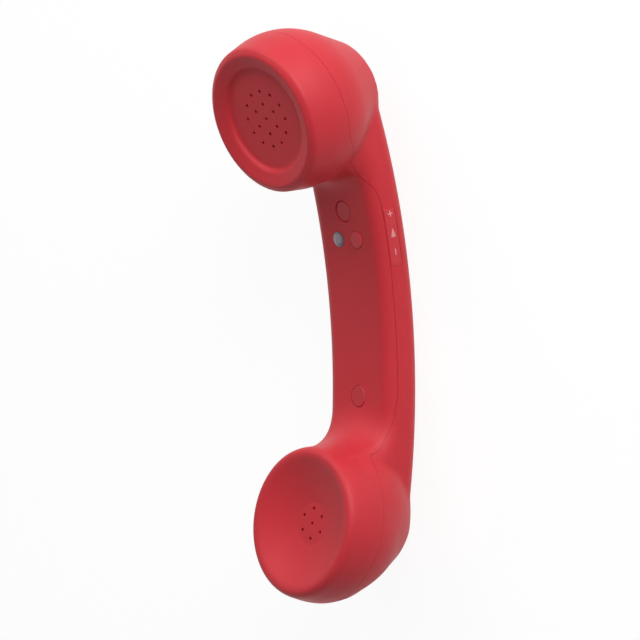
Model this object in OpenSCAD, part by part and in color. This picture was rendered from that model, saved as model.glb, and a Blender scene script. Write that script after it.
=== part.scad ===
/* [Grip] */
// Radius of the bend along the back of the grip
bend_r = 308.5; // [300:0.5:320]
// Width of the grip from side to side
grip_w = 36.6; // [36:0.1:38]
// Depth of the grip from its back to its inner face
grip_d = 15.8; // [15.4:0.1:17]
// Rounding of the edges beside the inner face
face_round = 6; // [5:0.1:6.5]
// Rounding of the edges beside the back
back_round = 7; // [6:0.1:7.5]
// Thickness of both shells
wall = 2; // [1.8:0.05:2.2]
// Height of the parting seam above the back
seam_d = 12.2; // [12:0.05:12.4]

/* [Earpiece] */
// Distance of the sound holes from the lowest point of the grip
ear_y = 72.4; // [71:0.2:75]
// Height of the sound holes above the back
ear_z = 50.7; // [50:0.1:52]
// Lean of the earpiece towards the mouth, in degrees
ear_tilt = 12; // [11:0.5:14]
// Radius of the round body
ear_body_r = 29.4; // [29:0.1:30]
// Depth of the body's centre behind the sound holes
ear_body_h = 11.2; // [10.8:0.1:11.6]
// Slope of the body's back, in degrees
ear_back = 31; // [30:0.5:33]
// Step in from the body's widest part to the outer rim
ear_rim_in = 2.2; // [1.8:0.1:2.6]
// Radius of the flat floor that holds the sound holes
ear_floor_r = 17.6; // [16.6:0.1:18.2]
// Height of the rim's crest above that floor
ear_crest = 4; // [3.6:0.1:4.4]
// Rounding between the earpiece and the grip
ear_neck_r = 8; // [7:0.5:9]
// Depth of the seam behind the floor
ear_seam_h = 12.8; // [12.4:0.1:13.2]

/* [Mouthpiece] */
// Distance of the speech holes from the lowest point of the grip
mouth_y = 77.5; // [76:0.2:80]
// Height of the speech holes above the back
mouth_z = 45.6; // [45:0.1:47]
// Lean of the mouthpiece towards the ear, in degrees
mouth_tilt = 15.8; // [15:0.1:17]
// Radius of the round body
mouth_body_r = 29.1; // [28.8:0.1:29.8]
// Depth of the body's centre behind the speech holes
mouth_body_h = 5.4; // [5:0.1:5.8]
// Slope of the body's back, in degrees
mouth_back = 34; // [33:0.5:36]
// How far the lower body reaches out towards the grip
heel_y = 9.6; // [9:0.2:10.4]
// Place of the outer end's foot along the back, in degrees
roof_a = 16.8; // [16.6:0.05:17.2]
// Slope of the outer end, in degrees
roof_slope = 30.4; // [29:0.1:31]
// Step in from the body's widest part to the outer rim
mouth_rim_in = 1.4; // [1.1:0.1:1.7]
// Height of the rim above the floor
mouth_crest = 6.1; // [5.6:0.1:6.4]
// Radius of the flat floor that holds the speech holes
mouth_floor_r = 9; // [8.6:0.1:10]
// Rounding between the mouthpiece and the grip
mouth_neck_r = 14; // [12:0.5:15]
// Depth of the seam behind the floor
mouth_seam_h = 9; // [8.6:0.1:9.4]

/* [Sound holes] */
// Diameter of each hole
hole_d = 1.3; // [1:0.1:1.6]
// Radius of the ear's outer ring of holes
ear_ring_r = 10.4; // [9:0.1:11]
// Radius of both inner rings of holes
inner_ring_r = 5.6; // [5:0.1:6]

/* [Controls] */
// Place of both screws along the grip from its lowest point, in degrees
screw_a = 6.8; // [6.6:0.05:7]
// Diameter of the plugs that cover the screws
plug_d = 8; // [7.4:0.1:8.4]
// Place of the call button, the lamp and the volume rocker, in degrees
control_a = 4.7; // [4.6:0.05:4.8]
// Distance of the call button and the lamp from the middle line
control_x = 4.9; // [4.7:0.05:5.4]
// Diameter of the call button
button_d = 6.4; // [5.8:0.1:6.6]
// Travel of the call button
button_travel = 0.4; // [0.2:0.05:0.4]
// Diameter of the lamp's lens
lens_d = 5.8; // [5:0.1:6]
// Length of the volume rocker along the grip
rocker_l = 21.8; // [20:0.2:22.4]
// Width of the volume rocker
rocker_w = 5.4; // [5:0.1:5.6]
// Gap around the moving pieces
play = 0.2; // [0.15:0.01:0.25]

/* [Inside] */
// Length of the circuit board
board_l = 66; // [64:0.5:67]
// Gap between the circuit board's long edges and the shells
board_gap = 2.1; // [1.8:0.1:2.6]
// Height of the circuit board above the back
board_z = 5.6; // [5.4:0.05:5.8]
// Radius of the loudspeaker
speaker_r = 15; // [14.4:0.1:15.4]
// Radius of the microphone capsule
mic_r = 3; // [2.4:0.1:3.4]
// Length of the battery across the mouthpiece
battery_l = 30; // [28:0.5:31]
// Width of the battery
battery_w = 21; // [19:0.5:21]
// Thickness of the battery
battery_t = 8; // [6:0.2:8]

/* [Hidden] */
red = "#c8323c";
// Hidden overlap that joins two forms without a shared surface
bite = 0.06;
dip = 0.3;
ear_end = 15;
mouth_end = 18.5;
// Half the difference between both ends, so that the part lies centred on its origin
ear_out = ear_y + ear_body_h * sin(ear_tilt) + ear_body_r;
mouth_out = mouth_y + mouth_body_h * sin(mouth_tilt) + mouth_body_r;
shift = (mouth_out - ear_out) / 2;
grip_centre = [shift, bend_r];
ear_rim_r = ear_body_r - ear_rim_in;
mouth_rim_r = mouth_body_r - mouth_rim_in;
board_w = grip_w - 2 * wall - 2 * board_gap;
// Length of the sloping back of each body, down to where it is closed inside the grip's curve
ear_cone_l = 24;
mouth_cone_l = 20;

function unit(v) = v / norm(v);
function dir(a) = [cos(a), sin(a)];
function arc(c, r, a0, a1, n) = [for (i = [0:n]) c + r * dir(a0 + (a1 - a0) * i / n)];
// Round corner at b of the path a, b, c
function corner(a, b, c, r, n = 6) =
    let (u = unit(a - b), v = unit(c - b), half = acos(u * v) / 2)
    let (o = b + unit(u + v) * r / sin(half), p = b + u * r / tan(half) - o, q = b + v * r / tan(half) - o)
    let (a0 = atan2(p.y, p.x), turn = atan2(p.x * q.y - p.y * q.x, p * q))
    arc(o, r, a0, a0 + turn, n);
// Where the line through p along u crosses the line through q along v
function crossing(p, u, q, v) = p + u * ((q.x - p.x) * v.y - (q.y - p.y) * v.x) / (u.x * v.y - u.y * v.x);
// Where two circles meet, left (1) or right (-1) of the way from the first to the second
function meet(c1, r1, c2, r2, side) =
    let (d = norm(c2 - c1), a = (r1 * r1 - r2 * r2 + d * d) / (2 * d), u = (c2 - c1) / d)
    c1 + a * u + side * sqrt(r1 * r1 - a * a) * [-u.y, u.x];
// Side view: point of the ear or the mouthpiece at a radius and a height, and point of the grip
function ear_point(r, h) = [ear_y + shift, ear_z] + r * dir(ear_tilt) + h * dir(ear_tilt + 90);
function mouth_point(r, h) = [shift - mouth_y, mouth_z] + r * dir(-mouth_tilt) + h * dir(90 - mouth_tilt);
function grip_point(a, d) = grip_centre + (bend_r - d) * dir(a - 90);

module ear_frame() { translate([0, ear_y + shift, ear_z]) rotate([ear_tilt, 0, 0]) children(); }
module mouth_frame() { translate([0, shift - mouth_y, mouth_z]) rotate([-mouth_tilt, 0, 0]) children(); }
module grip_frame(a) { translate([0, shift, bend_r]) rotate([a, 0, 0]) translate([0, 0, -bend_r]) children(); }
module lathe(pts) { rotate_extrude($fn = 120) polygon(pts); }
// Shape of the side view, made solid from side to side
module side_prism(pts, w = 80) { rotate([90, 0, 90]) linear_extrude(w, center = true) polygon(pts); }
// Section turned about an axis that runs from side to side: x is the radius, y the place across
module side_sweep(c, a0, a1, pts) {
    translate([0, c.x, c.y]) rotate([a0, 0, 0]) rotate([0, 90, 0]) rotate_extrude(angle = a1 - a0, $fn = 480)
        polygon(pts);
}

// Outer form of the grip, or with t of its hollow
function grip_section(t) =
    let (w = grip_w / 2 - t, lo = bend_r - t, hi = bend_r - grip_d + t, f = face_round - t, b = back_round - t)
    concat(arc([lo - b, w - b], b, 0, 90, 5), arc([hi + f, w - f], f, 90, 180, 4),
           arc([hi + f, f - w], f, 180, 270, 4), arc([lo - b, b - w], b, 270, 360, 5));
module grip_form(t) { side_sweep(grip_centre, -mouth_end, ear_end, grip_section(t)); }
module above_back(t) {
    intersection() {
        children();
        translate([0, shift, bend_r]) rotate([0, 90, 0])
            cylinder(r = bend_r - t - bite, h = 200, center = true, $fn = 480);
    }
}
// Latitude where a straight flare from the rim touches the round body
function flare(rim, h, r) = atan2(h, rim) - acos(min(1, r / norm([rim, h])));
function body_profile(rim, h, r, slope, l) =
    let (p = [r * cos(slope), -h - r * sin(slope)], q = p - l * dir(90 - slope))
    concat([rim], arc([0, -h], r, flare(rim.x, rim.y + h, r), -slope, 8), [q, [0, q.y]]);
ear_mid = (ear_floor_r + ear_rim_r) / 2 + 1;
function ear_dish(t) =
    concat([[0, -t], [ear_floor_r, -t], [ear_floor_r + 0.8, 2 - t]],
           corner([ear_floor_r + 0.8, 2 - t], [ear_mid, ear_crest - t], [ear_rim_r, ear_crest - 2 - t], 4, 3));
module ear_form(t) {
    above_back(t) ear_frame()
        lathe(concat(ear_dish(t),
            body_profile([ear_rim_r - t, ear_crest - 2 - 0.6 * t], ear_body_h, ear_body_r - t, ear_back, ear_cone_l)));
}
bowl_r = (pow(mouth_rim_r - 1.7, 2) - pow(mouth_floor_r, 2)) / (mouth_crest - 0.6) / 2;
function mouth_dish(t) =
    concat([[0, -t]], [for (i = [0:8]) let (r = mouth_floor_r + i * (mouth_rim_r - 1.7 - mouth_floor_r - 0.5 * t) / 8)
        [r, (r * r - mouth_floor_r * mouth_floor_r) / bowl_r / 2 - t]]);
module mouth_form(t) {
    above_back(t) mouth_frame()
        lathe(concat(mouth_dish(t), t > 0 ? [] : [[mouth_rim_r - 1, mouth_crest]],
            body_profile([mouth_rim_r - t, mouth_crest - 0.6 - t], mouth_body_h, mouth_body_r - t, mouth_back, mouth_cone_l)));
}
// Smaller round body that widens the mouthpiece towards the grip
heel_r = mouth_body_r - 6.3;
heel_h = mouth_body_h + 9.8;
heel_back = 40;
module heel_form(t) {
    r = heel_r - t;
    foot = [r * cos(heel_back), -heel_h - r * sin(heel_back)] - mouth_cone_l * dir(90 - heel_back);
    above_back(t) mouth_frame() translate([0, heel_y, 0])
        lathe(concat([[0, -heel_h + 0.3 * r]], arc([0, -heel_h], r, 20, -heel_back, 8), [foot, [0, foot.y]]));
}
// Sloped outer end of the mouthpiece, with its rounded foot
module roof_cut(t) {
    up = dir(90 + roof_slope);
    along = dir(-roof_a);
    foot = crossing(grip_point(-roof_a, 0) + t * dir(roof_slope), up, grip_point(-roof_a, t), along);
    difference() {
        children();
        side_prism(concat(corner(foot + 60 * up, foot, foot + 10 * along, 2.4 - t / 2, 4),
            [foot + 10 * along + [0, -4], foot + [-60, -10], foot + 60 * up + [-60, 10], foot + 60 * up]));
    }
}
// Rounding between a round body and the inner face of the grip: a ring about the cup's own axis,
// cut to the grip's width by a block with the same soft corners as the inner face
function neck_centre(body, body_r, r, side) =
    meet(grip_centre, bend_r - grip_d - r + dip, body, body_r + r - dip, side);
function turn_of(v) = atan2(v.x, -v.y);
function full_turn(a) = (a + 360) % 360;
module neck_block(body, body_r, r, side) {
    c = neck_centre(body, body_r, r, side);
    to_face = turn_of(c - grip_centre);
    to_body = turn_of(body - c) - side * 10;
    near = r - 1.5;
    w = grip_w / 2 - bite;
    f = face_round;
    side_sweep(c, min(to_face, to_body), max(to_face, to_body),
        concat(arc([near + f, w - f], f, 90, 180, 4), arc([near + f, f - w], f, 180, 270, 4),
               [[r + 9, -w], [r + 9, w]]));
}
module neck_ring(rc, hc, body_h, r, to_face) {
    c = [rc, hc];
    pts = arc(c, r, full_turn(atan2(-body_h - hc, -rc)), full_turn(to_face), 8);
    foot = pts[8] + [0.5, -4];
    lathe(concat(pts, [foot, [pts[0].x - 8, foot.y], [pts[0].x - 8, pts[0].y]]));
}
module ear_neck() {
    body = ear_point(0, -ear_body_h);
    c = neck_centre(body, ear_body_r, ear_neck_r, -1);
    v = c - ear_point(0, 0);
    intersection() {
        neck_block(body, ear_body_r, ear_neck_r, -1);
        ear_frame() neck_ring(-v * dir(ear_tilt), v * dir(ear_tilt + 90), ear_body_h, ear_neck_r,
            ear_tilt - turn_of(c - grip_centre) - 90);
    }
}
module mouth_neck() {
    body = mouth_point(0, -mouth_body_h);
    c = neck_centre(body, mouth_body_r, mouth_neck_r, 1);
    v = c - mouth_point(0, 0);
    intersection() {
        neck_block(body, mouth_body_r, mouth_neck_r, 1);
        mouth_frame() neck_ring(v * dir(-mouth_tilt), v * dir(90 - mouth_tilt), mouth_body_h, mouth_neck_r,
            turn_of(c - grip_centre) + mouth_tilt - 90);
    }
}
module outside() {
    ear_form(0);
    roof_cut(0) {
        grip_form(0);
        mouth_form(0);
        heel_form(0);
    }
    ear_neck();
    mouth_neck();
}
module hollow() {
    ear_form(wall);
    roof_cut(wall) {
        grip_form(wall);
        mouth_form(wall);
        heel_form(wall);
    }
}

// Side view of the seam, from beyond the mouthpiece to beyond the earpiece
seam_lean = 3;
ear_seam = ear_point(0, -ear_seam_h);
mouth_seam = mouth_point(0, -mouth_seam_h);
ear_along = dir(ear_tilt + seam_lean);
mouth_along = -dir(-mouth_tilt - seam_lean);
ear_drop = 11.5;
ear_foot = 8.1;
mouth_foot = 10.6;
seam_path = concat([mouth_seam + 60 * mouth_along, mouth_seam - 25 * mouth_along],
    corner(mouth_seam - 25 * mouth_along, grip_point(-mouth_foot, seam_d), grip_point(-mouth_foot + 3, seam_d), 12),
    [for (i = [0:6]) grip_point(-6.5 + 2 * i, seam_d)],
    corner(grip_point(ear_foot - 3, seam_d), grip_point(ear_foot, seam_d), ear_seam - ear_drop * ear_along, 14),
    corner(grip_point(ear_foot, seam_d), ear_seam - ear_drop * ear_along, ear_seam, 10),
    [ear_seam + 60 * ear_along]);
module above_seam() { side_prism(concat(seam_path, [[180, 120], [-180, 120]])); }
module below_seam() { side_prism(concat(seam_path, [[180, -20], [-180, -20]])); }

// Ring of n holes, and the full pattern of a face
module hole_ring(n, r) {
    for (i = [0:n - 1])
        rotate(i * 360 / n + 90) translate([r, 0, -wall - 1]) cylinder(d = hole_d, h = wall + 2, $fn = 24);
}

// Places on the circuit board, whose middle is set back from the ear screw
board_a = 2.1;
board_t = 1.2;
board_top = board_z + board_t;
function board_y(a) = (bend_r - board_top) * tan(a - board_a);
module board_frame(x = 0, a = board_a) { grip_frame(board_a) translate([x, board_y(a), 0]) children(); }
module post(d, z0, z1) { translate([0, 0, z0]) cylinder(d = d, h = z1 - z0, $fn = 48); }
module ring(r1, r2, z0, z1) {
    difference() {
        post(2 * r2, z0, z1);
        post(2 * r1, z0 - 1, z1 + 1);
    }
}
module block(x, y, z0, z1) { translate([-x / 2, -y / 2, z0]) cube([x, y, z1 - z0]); }

// Screws, from the plug in the inner face down to the back shell
plug_z = grip_d - 1.6;
head_z = plug_z - 2.4;
boss_z = 8.6;
boss_d = plug_d + 2.4;
shank_d = 2.6;
head_d = 5.4;
module screw_places() {
    for (a = [-screw_a, screw_a]) grip_frame(a) children();
}
module plug(a, top) {
    color("#a32731") grip_frame(a) {
        post(plug_d, plug_z, grip_d + top - 0.3);
        translate([0, 0, grip_d + top - 0.3]) cylinder(d1 = plug_d, d2 = plug_d - 0.6, h = 0.3, $fn = 48);
    }
}
module screw(a) {
    color("#b8bcc0") grip_frame(a) difference() {
        union() {
            post(head_d, head_z, head_z + 1.7);
            post(shank_d, 3.4, head_z + 0.1);
        }
        block(0.8, 3.4, head_z + 0.8, plug_z);
        block(3.4, 0.8, head_z + 0.8, plug_z);
    }
}
module ear_screw_plug() { plug(screw_a, -0.2); }
module mouth_screw_plug() { plug(-screw_a, 0.2); }
module ear_screw() { screw(screw_a); }
module mouth_screw() { screw(-screw_a); }

// Call button: cap, retaining flange inside the shell, and stem above the switch
button_flange_z = 12.3;
plunger_h = 4.2;
plunger_top = bend_r - (bend_r - board_top - plunger_h) / cos(control_a - board_a);
stem_z = plunger_top + button_travel + 0.06;
module call_button() {
    color("#b32b36") grip_frame(control_a) translate([control_x, 0, 0]) {
        post(button_d, button_flange_z + 0.5, grip_d + 0.1);
        translate([0, 0, grip_d + 0.1]) cylinder(d1 = button_d, d2 = button_d - 0.8, h = 0.3, $fn = 48);
        post(button_d + 2, button_flange_z, button_flange_z + 0.9);
        post(2.6, stem_z, button_flange_z + 0.1);
    }
}
module call_switch() {
    color("#2b2b2d") board_frame(control_x, control_a) {
        block(6, 6, board_top, board_top + plunger_h - 0.8);
        post(3.4, board_top + plunger_h - 0.9, board_top + plunger_h);
    }
}

// Lamp: domed lens with a flange and a light pipe, over the lamp on the board
dome_r = 8;
module status_lens() {
    color("#c9c3cf") {
        grip_frame(control_a) translate([-control_x, 0, 0]) {
            intersection() {
                post(lens_d, 12.9, grip_d + 1);
                translate([0, 0, grip_d + 0.6 - dome_r]) sphere(r = dome_r, $fn = 72);
            }
            post(lens_d + 1.4, 12.9, grip_d - wall);
        }
        board_frame(-control_x, control_a) post(3, board_top + 1.6, 13.5);
    }
}
module status_led() {
    color("#f2eecf") board_frame(-control_x, control_a) block(3.2, 3.2, board_top, board_top + 1.6);
}

// Volume rocker, in a notch of the back shell that opens at the seam
rocker_half = rocker_l / 2 / bend_r * 180 / PI;
rocker_gap = play / bend_r * 180 / PI;
rocker_top = seam_d - play;
rocker_bottom = rocker_top - rocker_w + play;
rocker_in = grip_w / 2 - wall - 0.7;
pivot_x = grip_w / 2 - 4.3;
pin_d = 1.6;
pin_clearance = 0.05;
lug_z = 7.4;
module rocker_notch() {
    side_sweep(grip_centre, control_a - rocker_half, control_a + rocker_half,
        [[bend_r - seam_d - 0.5, rocker_in - 0.5], [bend_r - rocker_bottom + play, rocker_in - 0.5],
         [bend_r - rocker_bottom + play, grip_w / 2 + 3], [bend_r - seam_d - 0.5, grip_w / 2 + 3]]);
}
module volume_rocker() {
    out = grip_w / 2 + 0.35;
    color("#bf303a") difference() {
        union() {
            side_sweep(grip_centre, control_a - rocker_half + rocker_gap, control_a + rocker_half - rocker_gap,
                [[bend_r - rocker_top, rocker_in], [bend_r - rocker_bottom, rocker_in],
                 [bend_r - rocker_bottom, out - 0.3], [bend_r - rocker_bottom - 0.4, out],
                 [bend_r - rocker_top + 1.6, out], [bend_r - rocker_top + 0.5, out - 0.2],
                 [bend_r - rocker_top, out - 0.6]]);
            grip_frame(control_a) {
                translate([(pivot_x + rocker_in) / 2 + 0.1, 0, 0]) block(rocker_in - pivot_x + 0.4, 3.6, lug_z, 11.2);
                translate([pivot_x, 0, 0]) post(3.6, lug_z, 11.2);
            }
        }
        grip_frame(control_a) translate([pivot_x, 0, 0]) post(pin_d + 2 * pin_clearance, lug_z - 1, 12);
    }
}
module rocker_pin() { color("#c9ccd0") grip_frame(control_a) translate([pivot_x, 0, 0]) post(pin_d, 4, 11.6); }
module volume_switch(a) {
    color("#2b2b2d") board_frame(grip_w / 2 - 7.2, a) {
        block(3.6, 4.6, board_top, board_top + 3.6);
        translate([0, 0, board_top + 2.2]) rotate([0, 90, 0]) cylinder(d = 1.6, h = 4, $fn = 24);
    }
}
module volume_up_switch() { volume_switch(control_a + 1.3); }
module volume_down_switch() { volume_switch(control_a - 1.3); }

// Charge socket on the hidden side
socket_a = 0.6;
socket_w = 8.9;
socket_h = 3.2;
socket_x = grip_w / 2 - 0.5;
module rounded_slot(w, h) {
    square([w - h, h], center = true);
    for (s = [-1, 1]) translate([s * (w - h) / 2, 0]) circle(d = h, $fn = 36);
}
module socket_frame(x) {
    board_frame(-x, socket_a) translate([0, 0, board_top + socket_h / 2]) rotate([90, 0, 90]) children();
}
module charge_socket() {
    color("#c4c7cb") {
        difference() {
            socket_frame(socket_x) linear_extrude(7.3) rounded_slot(socket_w, socket_h);
            socket_frame(socket_x + 0.1) linear_extrude(6.6) rounded_slot(socket_w - 0.6, socket_h - 0.6);
        }
        socket_frame(socket_x - 0.8) linear_extrude(6) square([6.6, 0.7], center = true);
    }
}

// Circuit board, with a hole round the ear screw's boss and a notch for the rocker's pivot
module main_board() {
    color("#1f5a3c") difference() {
        board_frame() block(board_w, board_l, board_z, board_top);
        board_frame(0, screw_a) post(boss_d + 2, board_z - 2, board_top + 2);
        board_frame(pivot_x, control_a) block(5.4, 7.6, board_z - 2, board_top + 2);
    }
}
radio_w = 13;
radio_l = 11;
radio_h = 2.2;
module radio_module() {
    color("#b9bdc2") board_frame(4, 0) block(radio_w, radio_l, board_top, board_top + radio_h);
}

// Loudspeaker, stacked behind the sound holes inside a collar of the face shell
cloth_t = 0.3;
gasket_t = 1;
stack_z = -wall - cloth_t - gasket_t;
module ear_cloth() { color("#1c1c1e") ear_frame() post(2 * speaker_r, -wall - cloth_t, -wall); }
module speaker_gasket() { color("#2a2a2c") ear_frame() ring(speaker_r - 2.2, speaker_r, stack_z, stack_z + gasket_t); }
module speaker_frame() {
    r = speaker_r;
    color("#8d9196") ear_frame() translate([0, 0, stack_z])
        lathe([[r - 1.6, 0], [r, 0], [r, -1.7], [r - 4.5, -5.5], [5, -5.5], [5, -4.7], [r - 5.1, -4.7],
               [r - 2.4, -2.3], [r - 2.4, -0.7], [r - 1.6, -0.7]]);
}
module speaker_magnet() {
    r = speaker_r - 6.4;
    color("#4b4d52") ear_frame() translate([0, 0, stack_z]) {
        post(2 * r, -9.1, -5.5);
        post(6.6, -5.6, -3.9);
    }
}
module speaker_cone() {
    r = speaker_r - 1.7;
    color("#e0ddd2") ear_frame() translate([0, 0, stack_z])
        lathe([[0, -2.3], [2.6, -2.6], [4.5, -3.3], [r - 1.3, -0.4], [r, -0.4], [r, -0.7], [r - 1.2, -0.7],
               [4.7, -3.65], [4.2, -3.65], [2.5, -2.9], [0, -2.6]]);
}

// Microphone in a rubber boot, inside a collar of the face shell
boot_r = inner_ring_r + 1.8;
module microphone() { color("#b4b7ba") mouth_frame() post(2 * mic_r, -wall - 3.6, -wall - 0.9); }
module microphone_boot() {
    color("#232325") mouth_frame() translate([0, 0, -wall])
        lathe([[mic_r, -0.8], [boot_r - 0.8, -0.8], [boot_r - 0.8, 0], [boot_r, 0], [boot_r, -4.2], [mic_r, -4.2]]);
}

// Battery on its pad, carried by four posts of the back shell
battery_y = 2.5;
battery_z = -22;
pad_t = 1;
module battery_frame() { mouth_frame() translate([0, battery_y, 0]) children(); }
module battery() { color("#3d6aa8") battery_frame() block(battery_l, battery_w, battery_z, battery_z + battery_t); }
module battery_pad() { color("#3a3a3c") battery_frame() block(battery_l - 4, battery_w - 4, battery_z - pad_t, battery_z); }

// Wires, as straight lengths between points
wire_d = 0.9;
function lift(x, p) = [x, p.x, p.y];
function board_point(x, a, h = wire_d / 2) =
    lift(x, grip_centre + (bend_r - board_top - h) * dir(board_a - 90) + board_y(a) * dir(board_a));
module rod(p, q) {
    v = q - p;
    translate(p) rotate([0, acos(v.z / norm(v)), atan2(v.y, v.x)]) cylinder(d = wire_d, h = norm(v), $fn = 16);
}
module wire(pts) {
    for (i = [0:len(pts) - 2]) rod(pts[i], pts[i + 1]);
    for (i = [1:len(pts) - 2]) translate(pts[i]) sphere(d = wire_d + 0.1, $fn = 16);
}
board_ear_a = 8.1;
board_mouth_a = -3.9;
// Where the wires turn from a cup into the grip
ear_turn = turn_of(ear_point(0, 0) - grip_centre) - 3.5;
mouth_turn = turn_of(mouth_point(0, 0) - grip_centre) + 3;
battery_edge = battery_y + battery_w / 2;
lead_x = [7, 8.4];
module speaker_leads() {
    color("#b02028") for (x = lead_x)
        wire([lift(x, ear_point(-5.6, stack_z - 5.5 - wire_d / 2)), lift(x, grip_point(ear_turn, 9)),
              board_point(x, board_ear_a)]);
}
module microphone_leads() {
    color("#d8d8d2") for (x = lead_x)
        wire([lift(x - 7.7, mouth_point(0, -wall - 3.6 - wire_d / 2)), lift(x - 0.5, mouth_point(battery_edge + 1.5, -10)),
              lift(x, grip_point(mouth_turn, 9)), board_point(x, board_mouth_a)]);
}
module battery_leads() {
    color("#b02028") for (x = -lead_x)
        wire([lift(x, mouth_point(battery_edge + wire_d / 2, battery_z + 3)), lift(x, grip_point(mouth_turn, 7)),
              board_point(x, board_mouth_a)]);
}

// What the face shell carries inside: collars, screw bosses and the lip that locates the seam
lip_z = 10.9;
lip_x = grip_w / 2 - wall - 1;
module lip(side, a0, a1) {
    x = [side * (lip_x - 1), side * lip_x];
    side_sweep(grip_centre, a0, a1,
        [[bend_r - 13, x[0]], [bend_r - lip_z, x[0]], [bend_r - lip_z, x[1]], [bend_r - 13, x[1]]]);
}
module face_fittings() {
    ear_frame() ring(speaker_r, speaker_r + 1.4, stack_z - 5, -wall + 0.5);
    mouth_frame() ring(boot_r, boot_r + 1.2, -wall - 4.2, -wall + 0.5);
    screw_places() post(boss_d, boss_z, plug_z + 0.5);
    lip(-1, -7.5, 6);
    lip(1, -7.5, control_a - rocker_half - 0.4);
}
module face_openings() {
    ear_frame() {
        hole_ring(1, 0);
        hole_ring(6, inner_ring_r);
        hole_ring(12, ear_ring_r);
    }
    mouth_frame() {
        hole_ring(1, 0);
        hole_ring(6, inner_ring_r);
    }
    screw_places() {
        post(plug_d, plug_z, grip_d + 2);
        post(head_d + 0.4, head_z, plug_z + 0.5);
        post(shank_d + 0.4, boss_z - 1, head_z + 0.5);
    }
    grip_frame(control_a) {
        translate([control_x, 0, 0]) post(button_d + 2 * play, 11, 20);
        translate([-control_x, 0, 0]) post(lens_d, 11, 20);
    }
}
module face_shell() {
    color(red) difference() {
        union() {
            difference() {
                intersection() {
                    outside();
                    above_seam();
                }
                hollow();
            }
            face_fittings();
        }
        face_openings();
    }
}

// What the back shell carries inside: screw bosses and posts
module back_fittings() {
    screw_places() post(7, 1.2, boss_z);
    for (x = [-10, 10], y = [-29, 29]) grip_frame(board_a) translate([x, y, 0]) post(3.2, 2.4, board_z);
    grip_frame(control_a) translate([pivot_x, 0, 0]) post(3.6, 2.5, lug_z - play);
    battery_frame()
        for (x = [-9, 9], y = [-1.5, 6.5]) translate([x, y, 0]) post(3, -33.3, battery_z - pad_t);
}
module back_shell() {
    color("#b02a34") difference() {
        union() {
            difference() {
                intersection() {
                    outside();
                    below_seam();
                }
                hollow();
            }
            back_fittings();
        }
        screw_places() post(shank_d, 3.2, boss_z + 1);
        grip_frame(control_a) translate([pivot_x, 0, 0]) post(pin_d, 3.8, lug_z);
        rocker_notch();
        socket_frame(grip_w / 2 + 1) linear_extrude(5) rounded_slot(socket_w + 0.4, socket_h + 0.3);
    }
}

face_shell();
back_shell();
ear_screw_plug();
mouth_screw_plug();
ear_screw();
mouth_screw();
call_button();
volume_rocker();
rocker_pin();
status_lens();
status_led();
main_board();
radio_module();
call_switch();
volume_up_switch();
volume_down_switch();
charge_socket();
battery();
battery_pad();
ear_cloth();
speaker_gasket();
speaker_frame();
speaker_magnet();
speaker_cone();
microphone();
microphone_boot();
speaker_leads();
microphone_leads();
battery_leads();
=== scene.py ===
"""A red wireless telephone handset lying on its curved back, dressed for its studio photograph."""

import math

import bmesh
import bpy
import numpy as np
from mathutils import Matrix, Vector


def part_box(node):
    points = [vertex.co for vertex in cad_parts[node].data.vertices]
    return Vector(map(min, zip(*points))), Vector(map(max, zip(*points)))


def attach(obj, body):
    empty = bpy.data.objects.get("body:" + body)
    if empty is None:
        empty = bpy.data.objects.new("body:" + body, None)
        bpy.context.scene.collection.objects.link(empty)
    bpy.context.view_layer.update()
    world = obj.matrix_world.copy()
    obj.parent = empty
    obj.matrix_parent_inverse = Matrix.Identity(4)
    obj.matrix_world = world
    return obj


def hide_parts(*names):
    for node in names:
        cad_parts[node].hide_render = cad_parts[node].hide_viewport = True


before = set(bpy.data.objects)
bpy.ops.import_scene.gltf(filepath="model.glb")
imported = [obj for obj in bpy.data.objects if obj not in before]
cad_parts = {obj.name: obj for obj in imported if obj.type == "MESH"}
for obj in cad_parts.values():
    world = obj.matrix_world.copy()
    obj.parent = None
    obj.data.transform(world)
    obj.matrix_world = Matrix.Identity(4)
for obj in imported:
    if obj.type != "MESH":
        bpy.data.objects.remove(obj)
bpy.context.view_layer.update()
MM = 0.001

# Main sizes of the handset in millimetres and degrees, as in the part's source. Only the ear's dish is wider
# and lower here, after the photograph, and CREASE_R rounds the inner corners that the source leaves plain.
BEND_R = 308.5
GRIP_W = 36.6
GRIP_D = 15.8
FACE_ROUND = 6.0
BACK_ROUND = 7.0
SEAM_D = 12.2
EAR = {"y": 72.4, "z": 50.7, "tilt": 12.0, "body_r": 29.4, "body_h": 11.2, "slope": 31.0, "rim_r": 27.2,
       "rim_h": 2.0, "neck_r": 12.0, "seam_h": 12.8}
MOUTH = {"y": -77.5, "z": 45.6, "tilt": -15.8, "body_r": 29.1, "body_h": 5.4, "slope": 34.0, "rim_r": 27.7,
         "rim_h": 5.5, "neck_r": 19.0, "seam_h": 9.0}
EAR_FLOOR_R = 19.2
EAR_CREST = 3.3
MOUTH_FLOOR_R = 9.0
MOUTH_CREST = 6.1
ROOF_A = 16.8
ROOF_SLOPE = 30.4
SCREW_A = 6.8
CONTROL_A = 4.7
CONTROL_X = 4.9
HEEL = {"y": 9.6, "h": 15.2, "r": 22.8, "slope": 40.0}
GRIP_END_A = 15
CREASE_R = 1.2
ROCKER_L = 21.8
ROCKER_W = 5.4
ROCKER_RISE = 0.2
PLAY = 0.2

# Openings and walls of the dressed shells
HOLE_R = 0.65
HOLE_RINGS = ((1, 0), (6, 5.6), (12, 10.4))
PLUG_HOLE_R = 4.1
BUTTON_HOLE_R = 3.35
LENS_HOLE_R = 2.98
SLOT_HALF_L = 4.65
SLOT_HALF_H = 1.75
SLOT_LEAN = 2.1
SKIN_WALL = 1.1
SEAM_GAP = 0.12
TONGUE_REACH = 1.6
TONGUE_SUNK = 0.4
TONGUE_WALL = 0.15


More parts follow.
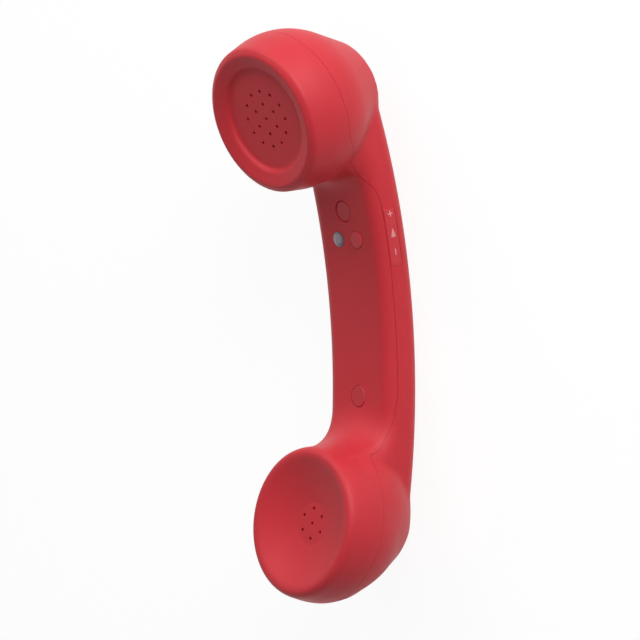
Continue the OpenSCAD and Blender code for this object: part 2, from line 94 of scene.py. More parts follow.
def out_end(cup):
    """How far a cup's round body reaches from the grip's lowest point."""
    return abs(cup["y"]) + cup["body_h"] * math.sin(math.radians(abs(cup["tilt"]))) + cup["body_r"]


SHIFT = (out_end(MOUTH) - out_end(EAR)) / 2
EAR["y"] += SHIFT
MOUTH["y"] += SHIFT


def heading(degrees):
    """Unit vector of the side view, as (y, z)."""
    return np.array([math.cos(math.radians(degrees)), math.sin(math.radians(degrees))])


def grip_point(angle, depth):
    """Side view: the point at an angle along the grip and a depth in from its back."""
    return np.array([SHIFT, BEND_R]) + (BEND_R - depth) * heading(angle - 90)


def cup_point(cup, r, h):
    """Side view: the point at a radius and a height in a cup's own frame."""
    return np.array([cup["y"], cup["z"]]) + r * heading(cup["tilt"]) + h * heading(cup["tilt"] + 90)


# Camera of the photograph, rolled so that the earpiece is at the top

def make_camera():
    """Long lens, as the photograph's straight sides ask for. Its place and turn were fitted to the outline."""
    data = bpy.data.cameras.new("camera")
    data.sensor_width = 36
    data.lens = 180
    data.clip_end = 20
    camera = bpy.data.objects.new("camera", data)
    right = Vector((0.6555, -0.0840, -0.7505)).normalized()
    look = Vector((-0.754, -0.1299, -0.6439)).normalized()
    up = right.cross(look)
    turn = Matrix((right, up, -look)).transposed().to_4x4()
    camera.matrix_world = Matrix.Translation((0.8868, 0.1492 + SHIFT * MM, 0.7908)) @ turn
    bpy.context.scene.collection.objects.link(camera)
    bpy.context.scene.camera = camera


make_camera()


# Materials

def linear(hex_colour):
    """sRGB hex colour as linear RGBA."""
    parts = [int(hex_colour[i:i + 2], 16) / 255 for i in (1, 3, 5)]
    return [c / 12.92 if c <= 0.04045 else ((c + 0.055) / 1.055) ** 2.4 for c in parts] + [1.0]


def add(tree, kind, settings=None, **links):
    """Adds a node, sets its fields and sockets, and links what it is given: Height=... by name, i0=... by number."""
    node = tree.nodes.new(kind)
    for key, value in (settings or {}).items():
        if key in node.inputs:
            node.inputs[key].default_value = value
        else:
            setattr(node, key, value)
    for key, source in links.items():
        by_number = key[0] == "i" and key[1:].isdigit()
        tree.links.new(source, node.inputs[int(key[1:]) if by_number else key.replace("_", " ")])
    return node


def new_material(name, shader_settings):
    """Material with one Principled shader, whose plain numbers sit on its own sockets."""
    material = bpy.data.materials.new(name)
    material.use_nodes = True
    tree = material.node_tree
    shader = tree.nodes["Principled BSDF"]
    for key, value in shader_settings.items():
        shader.inputs[key].default_value = value
    return material, tree, shader


def finish_surface(tree, shader, light, dark, blotch_mm, grit_mm, grit_depth_mm, rough=None):
    """Slow colour change between two tones, and a fine grit in the surface."""
    place = add(tree, "ShaderNodeTexCoord").outputs["Object"]
    blotch = add(tree, "ShaderNodeTexNoise", {"Scale": 1 / (blotch_mm * MM), "Detail": 3.0}, Vector=place)
    tone = add(tree, "ShaderNodeMix", {"data_type": "RGBA"}, Factor=blotch.outputs["Fac"])
    tone.inputs[6].default_value = linear(dark)
    tone.inputs[7].default_value = linear(light)
    tree.links.new(tone.outputs[2], shader.inputs["Base Color"])
    grit = add(tree, "ShaderNodeTexNoise", {"Scale": 1 / (grit_mm * MM), "Detail": 2.0}, Vector=place)
    bump = add(tree, "ShaderNodeBump", {"Strength": 1.0, "Distance": grit_depth_mm * MM},
               Height=grit.outputs["Fac"])
    tree.links.new(bump.outputs["Normal"], shader.inputs["Normal"])
    if rough:
        spread = add(tree, "ShaderNodeMapRange", {"To Min": rough[0], "To Max": rough[1]},
                     Value=blotch.outputs["Fac"])
        tree.links.new(spread.outputs["Result"], shader.inputs["Roughness"])


def soft_touch_abs():
    """ABS moulding under a soft-touch coat: a matte, faintly velvety red with a very fine grit.
    The real grit is about 0.1 mm; it is drawn at 0.35 mm so that it shows."""
    material, tree, shader = new_material("soft_touch_abs", {
        "Roughness": 0.5, "IOR": 1.47, "Specular IOR Level": 0.38,
        "Sheen Weight": 0.03, "Sheen Roughness": 0.5})
    shader.inputs["Sheen Tint"].default_value = linear("#FFD8D4")
    finish_surface(tree, shader, "#DA353F", "#D12F39", 14, 0.35, 0.004, (0.46, 0.54))
    return material


def plain_finish(name, light, dark, roughness, blotch_mm=3, grit_mm=0.3, depth_mm=0.004, specular=0.5):
    """Piece without metal: two close tones, a fine grit, and a gloss that wanders a little over the surface.
    A grit finer than 0.2 mm is drawn at 0.2 mm or more, so that it shows."""
    material, tree, shader = new_material(name, {
        "Roughness": roughness, "IOR": 1.5, "Specular IOR Level": specular})
    finish_surface(tree, shader, light, dark, blotch_mm, grit_mm, depth_mm,
                   (roughness - 0.04, roughness + 0.04))
    return material


def bright_metal(name, light, dark, roughness):
    """Plated steel or drawn aluminium: bright, with the faint drag marks of the press or the lathe.
    The real marks are a few hundredths of a millimetre; they are drawn at 0.12 mm so that they show."""
    material, tree, shader = new_material(name, {"Metallic": 1.0, "Roughness": roughness})
    finish_surface(tree, shader, light, dark, 1.5, 0.12, 0.002, (roughness - 0.05, roughness + 0.08))
    return material


def clear_acrylic_lens():
    """Clear acrylic dome: glossy, violet over the lamp, with painted shade: its rim is coloured dark where the hole
    shades it.
    """
    material, tree, shader = new_material("clear_acrylic_lens", {
        "Roughness": 0.12, "IOR": 1.49, "Coat Weight": 0.6, "Coat Roughness": 0.05})
    low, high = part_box("status_lens")
    middle = (low + high) / 2
    place = add(tree, "ShaderNodeTexCoord").outputs["Object"]
    apart = add(tree, "ShaderNodeVectorMath", {"operation": "DISTANCE"}, i0=place)
    apart.inputs[1].default_value = (-CONTROL_X * MM, middle.y, high.z)
    # Painted shade: from 1.5 to 2.5 mm off the middle the lens turns from lilac to a dark red-brown, in place of the
    # hole's shade
    rim = add(tree, "ShaderNodeMapRange", {"From Min": 1.5 * MM, "From Max": 2.5 * MM},
              Value=apart.outputs["Value"])
    tone = add(tree, "ShaderNodeMix", {"data_type": "RGBA"}, Factor=rim.outputs["Result"])
    tone.inputs[6].default_value = linear("#A288A0")
    tone.inputs[7].default_value = linear("#4A1A26")
    tree.links.new(tone.outputs[2], shader.inputs["Base Color"])
    return material


def make_materials():
    """Every finish of the handset. After the roughness come blotch, grit and its depth in mm, and the shine."""
    return {
        "shell": soft_touch_abs(),
        # Moulded ABS without the coat: matte and even, a shade off the shells
        "key": plain_finish("matte_abs_key", "#DA3440", "#D02C38", 0.44),
        "plug": plain_finish("matte_abs_plug", "#CC2B37", "#C22531", 0.5),
        # Thin flat ink from a pad
        "mark": plain_finish("pad_printed_pink", "#F0A9A6", "#E69A98", 0.5, 1, 0.2, 0.002),
        # Pressed and turned steel under nickel: a cool soft shine
        "steel": bright_metal("nickel_plated_steel", "#C9CBCE", "#B4B7BB", 0.32),
        "lens": clear_acrylic_lens(),
        # Cast resin round the diode: pale, waxy and glossy
        "lamp": plain_finish("lamp_resin", "#F3EED6", "#E4DDBE", 0.3),
        # Green lacquer over woven glass: the weave just shows
        "board": plain_finish("glass_epoxy_board", "#1E6A41", "#155234", 0.34, 2, 0.4, 0.01),
        # Moulded nylon housings: dark and matte
        "black": plain_finish("black_nylon", "#2A2A2C", "#1E1E20", 0.5),
        # Shrunk film, drawn tight: glossy with slow waves
        "battery": plain_finish("battery_film", "#3469AE", "#2B5A99", 0.28, 6, 0.8, 0.01),
        # Cut foam and woven cloth: no shine, an open rough surface; the cloth's threads are 0.3 mm
        "foam": plain_finish("closed_cell_foam", "#35353A", "#242428", 0.85, 1, 0.5, 0.08, 0.2),
        "cloth": plain_finish("woven_dust_cloth", "#4A2226", "#2E1216", 0.9, 0.8, 0.3, 0.06, 0.1),
        # Sintered ferrite under lacquer: dull dark grey
        "magnet": plain_finish("coated_ferrite", "#4C4E53", "#3A3C40", 0.6),
        # Pressed paper pulp: pale and fibrous
        "cone": plain_finish("pressed_paper_cone", "#DAD6C8", "#C9C4B4", 0.8, 2, 0.3, 0.02, 0.2),
        # Drawn aluminium: lighter and smoother than the steel
        "can": bright_metal("drawn_aluminium_can", "#D3D5D8", "#C2C5C9", 0.3),
        # Moulded silicone: dark, with a faint bloom
        "rubber": plain_finish("moulded_silicone_rubber", "#262628", "#1B1B1D", 0.7, 2, 0.4, 0.01, 0.3),
        # Extruded sleeve: smooth, with a soft shine
        "wire": plain_finish("wire_insulation", "#B4232B", "#9E1D25", 0.4),
    }


material = make_materials()
DRESS = {
    "key": ["call_button", "volume_rocker"],
    "plug": ["ear_screw_plug", "mouth_screw_plug"],
    "steel": ["ear_screw", "mouth_screw", "rocker_pin", "radio_module", "charge_socket", "speaker_frame"],
    "lens": ["status_lens"],
    "lamp": ["status_led"],
    "board": ["main_board"],
    "black": ["call_switch", "volume_up_switch", "volume_down_switch"],
    "battery": ["battery"],
    "foam": ["battery_pad", "speaker_gasket"],
    "cloth": ["ear_cloth"],
    "magnet": ["speaker_magnet"],
    "cone": ["speaker_cone"],
    "can": ["microphone"],
    "rubber": ["microphone_boot"],
    "wire": ["speaker_leads", "microphone_leads", "battery_leads"],
    "shell": ["face_shell", "back_shell"],
}
for finish, names in DRESS.items():
    for name in names:
        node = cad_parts[name]
        node.data.materials.clear()
        node.data.materials.append(material[finish])


# Outer form of the handset as a signed distance, in millimetres, with the soft blends of the moulding

def round_union(a, b, r):
    """Two bodies joined, with a fillet of radius r."""
    return np.maximum(r, np.minimum(a, b)) - np.hypot(np.maximum(r - a, 0), np.maximum(r - b, 0))


def round_cut(a, b, r):
    """What two bodies share, with its edge rounded to radius r."""
    return -round_union(-a, -b, r)


def soft_table(points, reach=34.0, blur_mm=0.5):
    """A cup's face as a table of height over radius, with its corners softened."""
    step = 0.05
    r = np.arange(-reach, reach, step)
    h = np.interp(np.abs(r), *zip(*points))
    w = np.exp(-0.5 * (np.arange(-40, 41) * step / blur_mm) ** 2)
    h = np.convolve(np.pad(h, 40, mode="edge"), w / w.sum(), mode="valid")
    return r, h, np.gradient(h, step)


# Dished faces, as (radius, height): floor, wall, lip and the outside of the rim
ear_face = soft_table([(0, 0), (EAR_FLOOR_R, 0), (EAR_FLOOR_R + 0.5, 1.5), (EAR["rim_r"] - 2.4, EAR_CREST),
                       (EAR["rim_r"], EAR_CREST - 1.5), (EAR["rim_r"] + 2, EAR_CREST - 3.5)], blur_mm=0.25)
lip_r = MOUTH["rim_r"] - 4.5
bowl = (lip_r ** 2 - MOUTH_FLOOR_R ** 2) / (MOUTH_CREST - 0.9) / 2
bowl_points = [(r, (r * r - MOUTH_FLOOR_R ** 2) / bowl / 2 + 0.3) for r in np.arange(MOUTH_FLOOR_R, lip_r)]
mouth_floor = [(0, 0), (MOUTH_FLOOR_R - 0.6, 0), (MOUTH_FLOOR_R - 0.4, 0.3)]
mouth_lip = [(MOUTH["rim_r"] - 3.4, MOUTH_CREST - 0.15), (MOUTH["rim_r"] - 2, MOUTH_CREST),
             (MOUTH["rim_r"], MOUTH_CREST - 0.7), (MOUTH["rim_r"] + 2, MOUTH_CREST - 3)]
mouth_face = soft_table(mouth_floor + bowl_points + mouth_lip, blur_mm=0.35)


def cup_distance(P, cup, face, rim_round):
    """Flared rim, round body and straight back of a cup, closed by its dished face."""
    v = P[:, 1:] - np.array([cup["y"], cup["z"]])
    h = v @ heading(cup["tilt"] + 90)
    r = np.hypot(P[:, 0], v @ heading(cup["tilt"]))
    rise = h + cup["body_h"]
    rim_x, rim_y = cup["rim_r"], cup["rim_h"] + cup["body_h"]
    flare = math.atan2(rim_y, rim_x) - math.acos(min(1, cup["body_r"] / math.hypot(rim_x, rim_y)))
    turn = np.clip(np.arctan2(rise, r), -math.radians(cup["slope"]), flare)
    body = r * np.cos(turn) + rise * np.sin(turn) - cup["body_r"]
    top = (h - np.interp(r, face[0], face[1])) / np.sqrt(1 + np.interp(r, face[0], face[2]) ** 2)
    return round_cut(body, top, rim_round)


def heel_distance(P):
    """Smaller round body that widens the mouthpiece towards the grip, closed well below the mouth's dish."""
    v = P[:, 1:] - np.array([MOUTH["y"], MOUTH["z"]])
    rise = v @ heading(MOUTH["tilt"] + 90) + HEEL["h"]
    r = np.hypot(P[:, 0], v @ heading(MOUTH["tilt"]) - HEEL["y"])
    turn = np.maximum(np.arctan2(rise, r), -math.radians(HEEL["slope"]))
    return round_cut(r * np.cos(turn) + rise * np.sin(turn) - HEEL["r"], rise - 8, 2.0)


def grip_distance(P, rho):
    """The curved bar of the grip, with its softened edges."""
    across = rho - (BEND_R - GRIP_D / 2)
    corner = np.where(across < 0, FACE_ROUND, BACK_ROUND)
    qx = np.abs(P[:, 0]) - GRIP_W / 2 + corner
    qd = np.abs(across) - GRIP_D / 2 + corner
    return np.minimum(np.maximum(qx, qd), 0) + np.hypot(np.maximum(qx, 0), np.maximum(qd, 0)) - corner


def neck_side(P, cup, side):
    """1 on the side of a cup that meets the grip, 0 on its outer side, easing over 8 mm."""
    t = np.clip((side * (P[:, 1:] - np.array([cup["y"], cup["z"]])) @ heading(cup["tilt"]) - 8) / 8, 0, 1)
    return t * t * (3 - 2 * t)


def bar_with_neck(P, rho, cup_d, neck_r):
    """The curved bar of the grip, whose inner face sweeps up into a cup, with softened long edges."""
    inner = round_union(BEND_R - rho - GRIP_D, cup_d, neck_r)
    side = np.abs(P[:, 0]) - GRIP_W / 2
    return np.maximum(round_cut(inner, side, FACE_ROUND), round_cut(side, rho - BEND_R, BACK_ROUND))


def handset_distance(P):
    """The whole outer form: grip, necks, cups with their dished faces, the heel and the slanting end behind it."""
    y, z = P[:, 1] - SHIFT, P[:, 2] - BEND_R
    rho = np.hypot(y, z)
    # The inner corner fades out 6 to 12 mm above the grip, so that the cups' own faces aren't raised by it
    crease = CREASE_R * np.clip((GRIP_D + 12 - (BEND_R - rho)) / 6, 0.01, 1)
    angle = np.degrees(np.arctan2(y, -z))
    roof = -(P[:, 1:] - grip_point(-ROOF_A, 0)) @ heading(ROOF_SLOPE)
    cup = cup_distance(P, EAR, ear_face, 0.5)
    bar = bar_with_neck(P, rho, cup, CREASE_R + (EAR["neck_r"] - CREASE_R) * neck_side(P, EAR, -1))
    bar = round_cut(bar, rho * np.radians(angle - GRIP_END_A), 1.0)
    near_ear = round_union(bar, round_cut(cup, rho - BEND_R, 0.3), crease)
    cup = cup_distance(P, MOUTH, mouth_face, 1.6)
    bar = bar_with_neck(P, rho, cup, CREASE_R + (MOUTH["neck_r"] - CREASE_R) * neck_side(P, MOUTH, 1))
    body = round_cut(round_union(cup, heel_distance(P), 5.0), rho - BEND_R, 1.0)
    near_mouth = round_union(round_cut(bar, roof, 2.0), round_cut(body, roof, 3.2), crease)
    return np.where(angle > 0, near_ear, near_mouth)


def slope_of(P, field):
    """Gradient of the distance, by central differences."""
    e = 0.02
    return np.stack([(field(P + e * d) - field(P - e * d)) / (2 * e) for d in np.eye(3)], axis=1)


def settle(P, field, rounds=3):
    """Moves points onto the surface."""
    for _ in range(rounds):
        g = slope_of(P, field)
        P = P - (field(P) / np.maximum((g * g).sum(1), 0.05))[:, None] * g
    return P


def surface_net(field, low, high, step):
    """Quads over a closed surface, one point in each cell of the grid that it crosses."""
    axes = [np.arange(a, b + step, step) for a, b in zip(low, high)]
    grid = np.stack(np.meshgrid(*axes, indexing="ij"), axis=-1)
    size = grid.shape[:3]
    value = field(grid.reshape(-1, 3)).reshape(size)
    cells = tuple(n - 1 for n in size)
    total = np.zeros(cells + (3,))
    count = np.zeros(cells)
    crossings = []
    for axis in range(3):
        a = np.take(value, range(size[axis] - 1), axis)
        b = np.take(value, range(1, size[axis]), axis)
        cross = (a < 0) != (b < 0)
        t = np.where(cross, a / np.where(cross, a - b, 1), 0)
        at = np.take(grid, range(size[axis] - 1), axis).copy()
        at[..., axis] += t * step
        others = [k for k in range(3) if k != axis]
        for du in (0, 1):
            for dv in (0, 1):
                pick = [slice(None)] * 3
                pick[others[0]] = slice(du, du + cells[others[0]])
                pick[others[1]] = slice(dv, dv + cells[others[1]])
                pick = tuple(pick)
                total += at[pick] * cross[pick][..., None]
                count += cross[pick]
        crossings.append((axis, others, cross, a < 0))
    used = count > 0
    number = np.full(cells, -1)
    number[used] = np.arange(used.sum())
    points = total[used] / count[used][:, None]
    quads = []
    for axis, others, cross, from_inside in crossings:
        where = np.argwhere(cross)
        keep = np.all([(where[:, k] > 0) & (where[:, k] < cells[k]) for k in others], axis=0)
        where = where[keep]
        flip = from_inside[tuple(where.T)] ^ (axis == 1)
        corners = []
        for du, dv in ((-1, -1), (0, -1), (0, 0), (-1, 0)):
            cell = where.copy()
            cell[:, others[0]] += du
            cell[:, others[1]] += dv
            corners.append(number[tuple(cell.T)])
        quad = np.stack(corners, axis=1)
        quad[~flip] = quad[~flip][:, ::-1]
        quads.append(quad)
    return points, np.concatenate(quads)


def relax(P, quads, field, rounds):
    """Evens out the spacing of the points along the surface."""
    edges = np.concatenate([quads[:, [i, (i + 1) % 4]] for i in range(4)])
    edges = np.concatenate([edges, edges[:, ::-1]])
    for _ in range(rounds):
        total = np.stack([np.bincount(edges[:, 0], P[edges[:, 1], k], len(P)) for k in range(3)], axis=1)
        count = np.bincount(edges[:, 0], minlength=len(P))
        P = settle(P + 0.6 * (total / count[:, None] - P), field, 1)
    return P


# Parting seam of the two shells, in the side view

def corner_arc(a, b, c, r, n=8):
    """Points of the round corner at b of the path a, b, c."""
    u, v = (a - b) / np.linalg.norm(a - b), (c - b) / np.linalg.norm(c - b)
    half = math.acos(u @ v) / 2
    centre = b + (u + v) / np.linalg.norm(u + v) * r / math.sin(half)
    p, q = b + u * r / math.tan(half) - centre, b + v * r / math.tan(half) - centre
    start = math.degrees(math.atan2(p[1], p[0]))
    turn = math.degrees(math.atan2(p[0] * q[1] - p[1] * q[0], p @ q))
    return [centre + r * heading(start + turn * i / n) for i in range(n + 1)]


# The seam between the mouth's drum and the grip, as (radius, height) in the mouth's own frame
MOUTH_RISER = [(28.2, -12.1), (29.2, -13.4), (30.7, -14.7), (33.8, -16.1),
               (36.9, -17.4), (40.3, -18.4), (43.6, -18.5)]


def seam_path():
    """Seam from the mouth's end, round its drum, along the grip and up to the ear's drum."""
    lean = 3
    ear_seam, mouth_seam = cup_point(EAR, 0, -EAR["seam_h"]), cup_point(MOUTH, 0, -MOUTH["seam_h"])
    ear_along, mouth_along = heading(EAR["tilt"] + lean), -heading(MOUTH["tilt"] - lean)
    drop, ear_foot = 11.5, 8.1
    foot, top = grip_point(ear_foot, SEAM_D), ear_seam - drop * ear_along
    path = [mouth_seam + 60 * mouth_along]
    path += corner_arc(mouth_seam, mouth_seam - 27.6 * mouth_along, cup_point(MOUTH, 29.2, -13.3), 0.8)
    path += [cup_point(MOUTH, r, h) for r, h in MOUTH_RISER]
    path += [grip_point(a, SEAM_D) for a in np.arange(-6.5, 5.6, 1)]
    path += corner_arc(grip_point(ear_foot - 3, SEAM_D), foot, top, 14)
    path += corner_arc(foot, top, ear_seam, 10)
    return np.array(path + [ear_seam + 60 * ear_along])


def seam_distance(P):
    """Distance above the seam, negative below it."""
    path = seam_path()
    best = np.full(len(P), 1e9)
    for a, b in zip(path[:-1], path[1:]):
        along = b - a
        v = P[:, 1:] - a
        t = np.clip(v @ along / (along @ along), 0, 1)
        apart = np.linalg.norm(v - t[:, None] * along, axis=1)
        side = np.sign(along[0] * v[:, 1] - along[1] * v[:, 0])
        closer = apart < np.abs(best) - 1e-9
        best = np.where(closer, np.where(side == 0, 1, side) * apart, best)
    return best


def half_shell(name, points, quads, seam, sign, gap):
    """One side of the seam, as an open skin."""
    mesh = bpy.data.meshes.new(name)
    mesh.from_pydata(np.column_stack([points[:, :2], seam]).tolist(), [], quads.tolist())
    bm = bmesh.new()
    bm.from_mesh(mesh)
    true_place = bm.verts.layers.float_vector.new("true_place")
    for vert, p in zip(bm.verts, points.tolist()):
        vert[true_place] = p
    bmesh.ops.bisect_plane(bm, geom=bm.verts[:] + bm.edges[:] + bm.faces[:], dist=1e-5,
                           plane_co=(0, 0, sign * gap / 2), plane_no=(0, 0, sign), clear_inner=True)
    for vert in bm.verts:
        vert.co = Vector(vert[true_place]) * MM
    bm.verts.layers.float_vector.remove(true_place)
    bm.to_mesh(mesh)
    bm.free()
    mesh.update()
    piece = bpy.data.objects.new(name, mesh)
    bpy.context.scene.collection.objects.link(piece)
    return piece


CELL_MM = 0.8
points, quads = surface_net(handset_distance, (-30.6, -107.5, -1), (30.6, 107.9, 60.6), CELL_MM)
points = relax(settle(points, handset_distance), quads, handset_distance, 6)
points = settle(points, handset_distance, 2)
seam = seam_distance(points)


def turned(cup=None, angle=None):
    """Frame of a cup, or of a place along the grip."""
    middle = Vector((0, cup["y"], cup["z"]) if cup else (0, SHIFT, BEND_R)) * MM
    lean = Matrix.Rotation(math.radians(cup["tilt"] if cup else angle), 4, "X")
    place = Matrix.Translation(middle) @ lean
    return place if cup else place @ Matrix.Translation((0, 0, -BEND_R * MM))


def drill(bm, where, x, y, radius, low, high, sides=32):
    """Adds a straight round cutter to bm."""
    depth = (high - low) * MM
    place = where @ Matrix.Translation(Vector((x, y, (low + high) / 2)) * MM)
    bmesh.ops.create_cone(bm, cap_ends=True, segments=sides, radius1=radius * MM, radius2=radius * MM,
                          depth=depth, matrix=place)


def side_block(bm, a0, a1, d0, d1, x0, x1, steps=24):
    """Adds a block that follows the grip between two angles, two depths and two places across."""
    rings = []
    for a in np.linspace(a0, a1, steps + 1):
        ends = [grip_point(a, d) for d in (d0, d1)]
        rings.append([bm.verts.new(Vector((x, *e)) * MM) for x, e in
                      ((x0, ends[0]), (x1, ends[0]), (x1, ends[1]), (x0, ends[1]))])
    for p, q in zip(rings[:-1], rings[1:]):
        for k in range(4):
            bm.faces.new((p[k], p[(k + 1) % 4], q[(k + 1) % 4], q[k]))
    bm.faces.new(rings[0][::-1])
    bm.faces.new(rings[-1])


def face_cutter():
    """Holes of the ear and the mouth, and those of the plugs, the button and the lens."""
    bm = bmesh.new()
    for cup, rings in ((EAR, HOLE_RINGS), (MOUTH, HOLE_RINGS[:2])):
        for n, r in rings:
            for i in range(n):
                a = math.radians(i * 360 / n + 90)
                drill(bm, turned(cup), r * math.cos(a), r * math.sin(a), HOLE_R, -2, 2)
    for a in (-SCREW_A, SCREW_A):
        drill(bm, turned(angle=a), 0, 0, PLUG_HOLE_R, 12, 18, 64)
    drill(bm, turned(angle=CONTROL_A), CONTROL_X, 0, BUTTON_HOLE_R, 12, 18, 64)
    drill(bm, turned(angle=CONTROL_A), -CONTROL_X, 0, LENS_HOLE_R, 12, 18, 64)
    return bm


ROCKER_HALF = math.degrees(ROCKER_L / 2 / BEND_R)
ROCKER_LOW, ROCKER_HIGH = SEAM_D - ROCKER_W, SEAM_D - PLAY


def back_cutter():
    """Notch of the volume rocker, and the slot of the charge socket."""
    bm = bmesh.new()
    side_block(bm, CONTROL_A - ROCKER_HALF, CONTROL_A + ROCKER_HALF,
               ROCKER_LOW - PLAY, SEAM_D + 0.5, 15, 21)
    low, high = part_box("charge_socket")
    middle = (low + high) / 2
    w, h = SLOT_HALF_L, SLOT_HALF_H
    outline = [(s * (w - h) + h * math.cos(a), h * math.sin(a)) for s, start in ((1, -90), (-1, 90))
               for a in np.radians(start + np.arange(0, 181, 12))]
    lean = Matrix.Rotation(math.radians(SLOT_LEAN), 4, "X")
    rings = []
    for x in (-21, -15):
        place = Vector((x * MM, middle.y, middle.z))
        rings.append([bm.verts.new(lean @ Vector((0, u * MM, v * MM)) + place) for u, v in outline])
    for k in range(len(outline)):
        n = (k + 1) % len(outline)
        bm.faces.new((rings[0][k], rings[1][k], rings[1][n], rings[0][n]))
    bm.faces.new(rings[0])
    bm.faces.new(rings[1][::-1])
    bmesh.ops.recalc_face_normals(bm, faces=bm.faces[:])
    return bm


def cut(piece, bm, name):
    """Boolean cut of piece with the cutters in bm."""
    mesh = bpy.data.meshes.new(name)
    bm.to_mesh(mesh)
    bm.free()
    cutter = bpy.data.objects.new(name, mesh)
    bpy.context.scene.collection.objects.link(cutter)
    modifier = piece.modifiers.new("openings", "BOOLEAN")
    modifier.operation = "DIFFERENCE"
    modifier.solver = "EXACT"
    modifier.object = cutter
    return cutter


def finish_shell(piece, cutter_bm, node):
    """Gives the skin its wall, cuts its openings and lets it stand for its CAD node."""
    wall = piece.modifiers.new("wall", "SOLIDIFY")
    wall.thickness = SKIN_WALL * MM
    wall.offset = -1
    cutter = cut(piece, cutter_bm, "cutter_of_" + node)
    graph = bpy.context.evaluated_depsgraph_get()
    mesh = bpy.data.meshes.new_from_object(piece.evaluated_get(graph), depsgraph=graph)
    piece.modifiers.clear()
    piece.data = mesh
    bpy.data.objects.remove(cutter)
    mesh.materials.clear()
    mesh.materials.append(material["shell"])
    mesh.shade_smooth()
    mesh.set_sharp_from_angle(angle=math.radians(50))
    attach(piece, "handset")
    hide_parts(node)


face_half = half_shell("face_skin", points, quads, seam, 1, SEAM_GAP)
back_half = half_shell("back_skin", points, quads, seam, -1, SEAM_GAP)
finish_shell(face_half, face_cutter(), "face_shell")
finish_shell(back_half, back_cutter(), "back_shell")


def new_piece(name, verts_mm, faces, finish, body, smooth=True):
    """Mesh piece from points in millimetres, with its finish, riding on a body."""
    mesh = bpy.data.meshes.new(name)
    mesh.from_pydata((np.asarray(verts_mm) * MM).tolist(), [], [list(f) for f in faces])
    mesh.materials.append(material[finish])
    if smooth:
        mesh.shade_smooth()
        mesh.set_sharp_from_angle(angle=math.radians(40))
    piece = bpy.data.objects.new(name, mesh)
    bpy.context.scene.collection.objects.link(piece)
    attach(piece, body)
    return piece


def seam_tongue():
    """Tongue of the face shell that closes the seam from inside."""
    near = (np.abs(seam[quads]) < TONGUE_REACH).all(axis=1)
    used, faces = np.unique(quads[near], return_inverse=True)
    faces = faces.reshape(-1, 4)
    skin = points[used]
    normal = slope_of(skin, handset_distance)
    normal /= np.linalg.norm(normal, axis=1)[:, None]
    piece = new_piece("seam_tongue", skin - TONGUE_SUNK * normal, faces, "shell", "handset")
    wall = piece.modifiers.new("wall", "SOLIDIFY")
    wall.thickness = TONGUE_WALL * MM
    wall.offset = -1


def rocker_distance(P):
    """Cap of the volume rocker: the side of the grip between the notch's ends, raised a little."""
    y, z = P[:, 1] - SHIFT, P[:, 2] - BEND_R
    rho = np.hypot(y, z)
    along = np.abs(np.degrees(np.arctan2(y, -z)) - CONTROL_A) * math.radians(1) * rho - ROCKER_L / 2 + PLAY
    across = np.abs(BEND_R - rho - (ROCKER_LOW + ROCKER_HIGH) / 2) - (ROCKER_HIGH - ROCKER_LOW) / 2
    bar = round_cut(grip_distance(P, rho) - ROCKER_RISE, np.maximum(along, across), 0.45)
    return np.maximum(bar, 15 - P[:, 0])


def volume_key():
    """Cap of the volume rocker, in place of its plain solid."""
    low, high = [np.array(v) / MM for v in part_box("volume_rocker")]
    cell = 0.25
    verts, faces = surface_net(rocker_distance, (14.6, low[1] - 1, low[2] - 1),
                               (19.4, high[1] + 1, high[2] + 1), cell)
    verts = relax(settle(verts, rocker_distance), faces, rocker_distance, 3)
    piece = new_piece("rocker_cap", verts, faces, "key", "volume_key")
    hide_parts("volume_rocker")


def printed_mark(name, outline, angle, depth):
    """Pale print on the rocker's side: outline in mm, (towards the ear, towards the inner face)."""
    place = [grip_point(angle + math.degrees(u / BEND_R), depth + v) for u, v in outline]
    x = GRIP_W / 2 + ROCKER_RISE
    n = len(outline)
    verts = [(x - 0.05, *p) for p in place] + [(x + 0.03, *p) for p in place]
    faces = [range(n), range(2 * n - 1, n - 1, -1)]
    faces += [(k, (k + 1) % n, n + (k + 1) % n, n + k) for k in range(n)]
    piece = new_piece(name, verts, faces, "mark", "volume_key", smooth=False)
    bm = bmesh.new()
    bm.from_mesh(piece.data)
    bmesh.ops.recalc_face_normals(bm, faces=bm.faces[:])
    bm.to_mesh(piece.data)
    bm.free()


def cross_outline(length, stroke):
    """Outline of a plus sign."""
    a, b = length / 2, stroke / 2
    return [(b, b), (b, a), (-b, a), (-b, b), (-a, b), (-a, -b),
            (-b, -b), (-b, -a), (b, -a), (b, -b), (a, -b), (a, b)]


MARK_DEPTH = 9.4
plus = cross_outline(2.3, 0.5)
wedge = [(1.6, -0.25), (1.6, 0.25), (-1.5, 1.15), (-1.5, -1.15)]
minus = [(1.15, -0.27), (1.15, 0.27), (-1.15, 0.27), (-1.15, -0.27)]


seam_tongue()
volume_key()
printed_mark("volume_up_mark", plus, 6.4, MARK_DEPTH)
printed_mark("volume_wedge_mark", wedge, 5.0, MARK_DEPTH)
printed_mark("volume_down_mark", minus, 3.66, MARK_DEPTH)


# Studio: pale floor and soft boxes

def seen_ray(tree):
    """1 for the rays that see the background, straight, mirrored or through glass."""
    ray = add(tree, "ShaderNodeLightPath").outputs
    either = {"operation": "MAXIMUM"}
    seen = add(tree, "ShaderNodeMath", either, i0=ray["Is Camera Ray"], i1=ray["Is Glossy Ray"])
    return add(tree, "ShaderNodeMath", either, i0=seen.outputs[0], i1=ray["Is Transmission Ray"]).outputs[0]


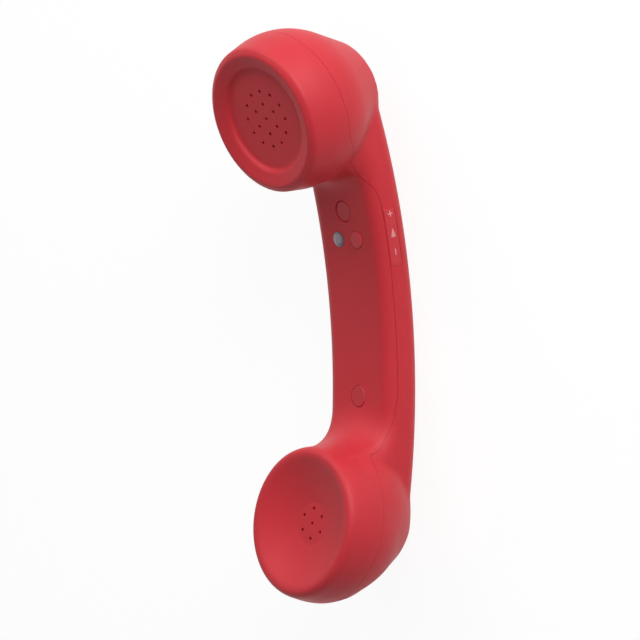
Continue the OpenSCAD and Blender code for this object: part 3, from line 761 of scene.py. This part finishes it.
def make_floor():
    """White paper that the camera sees nearly white, and that keeps a soft shadow."""
    mesh = bpy.data.meshes.new("floor")
    half = 6.0
    corners = [(-half, -half, 0), (half, -half, 0), (half, half, 0), (-half, half, 0)]
    mesh.from_pydata(corners, [], [(0, 1, 2, 3)])
    floor = bpy.data.objects.new("floor", mesh)
    bpy.context.scene.collection.objects.link(floor)
    paint, tree, shader = new_material("white_studio_paper", {
        "Base Color": linear("#F4F4F4"), "Roughness": 0.9})
    share = add(tree, "ShaderNodeMath", {"operation": "MULTIPLY"}, i0=seen_ray(tree))
    shadowless = 0.8
    share.inputs[1].default_value = shadowless
    glow = add(tree, "ShaderNodeEmission", {"Color": linear("#FFFFFF"), "Strength": 1.13})
    mix = add(tree, "ShaderNodeMixShader",
              i0=share.outputs[0], i1=shader.outputs[0], i2=glow.outputs[0])
    tree.links.new(mix.outputs[0], tree.nodes["Material Output"].inputs["Surface"])
    mesh.materials.append(paint)


def soft_box(name, place, aim, size, power):
    """White studio light of the given size in metres and power in watts."""
    data = bpy.data.lights.new(name, "AREA")
    data.shape = "RECTANGLE"
    data.size, data.size_y = size
    data.energy = power
    lamp = bpy.data.objects.new(name, data)
    lamp.location = place
    lamp.rotation_euler = (Vector(aim) - Vector(place)).to_track_quat("-Z", "Y").to_euler()
    bpy.context.scene.collection.objects.link(lamp)


def make_air():
    """World: white where it is seen, dim where it lights the handset."""
    world = bpy.data.worlds.new("studio_air")
    world.use_nodes = True
    tree = world.node_tree
    background = tree.nodes["Background"].inputs
    background["Color"].default_value = linear("#FFFFFF")
    level = add(tree, "ShaderNodeMapRange", {"To Min": 0.15, "To Max": 1.0}, Value=seen_ray(tree))
    tree.links.new(level.outputs["Result"], background["Strength"])
    bpy.context.scene.world = world


make_floor()
make_air()
soft_box("key_box", (0.75, 0.75, 0.35), (0, 0, 0.03), (0.7, 0.7), 8.3)
soft_box("fill_box", (0.2, -0.9, 0.8), (0, 0, 0.03), (0.9, 0.6), 0.4)
soft_box("top_box", (-0.3, 1.2, 0.8), (0, -0.05, 0.03), (0.9, 0.9), 6.1)
bpy.context.scene.view_settings.view_transform = "Standard"
